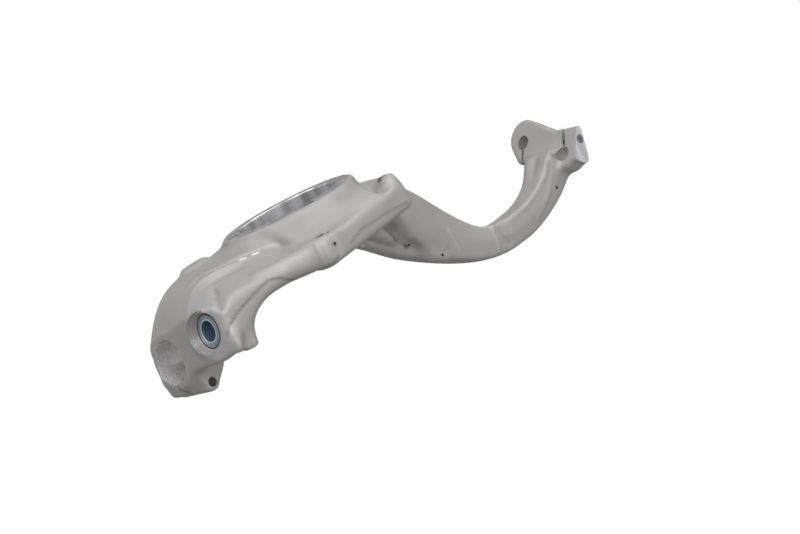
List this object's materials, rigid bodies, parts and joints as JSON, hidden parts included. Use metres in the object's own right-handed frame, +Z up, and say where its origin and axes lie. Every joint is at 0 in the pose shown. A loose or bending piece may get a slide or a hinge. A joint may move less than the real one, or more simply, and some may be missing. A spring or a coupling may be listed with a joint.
{
  "type": "steering knuckle",
  "caption": "Aluminium steering knuckle with a hub bearing ring, caliper lugs, a tall swan neck to a split two-pin head, and a lower body with a split clamp bore and a pressed-in bush",
  "frame": {"origin": "centre of the hub bearing bore at the machined outboard face of the hub ring", "axes": "+Y outboard along the hub bore, +Z up towards the head of the swan neck, +X forward, so the caliper lugs are on the -X side and the steering arm on the +X side"},
  "size_m": [0.221, 0.1535, 0.5513],
  "materials": {
    "cast_aluminium": "blasted cast skin, satin, with bright machined seats",
    "zinc_steel": "blue-passivated zinc plate, satin",
    "black_rubber": "matte black moulded rubber"
  },
  "bodies": {
    "root": {"knuckle": "cast_aluminium", "bush_sleeve": "zinc_steel", "bush_rubber": "black_rubber"}
  },
  "joints": []
}
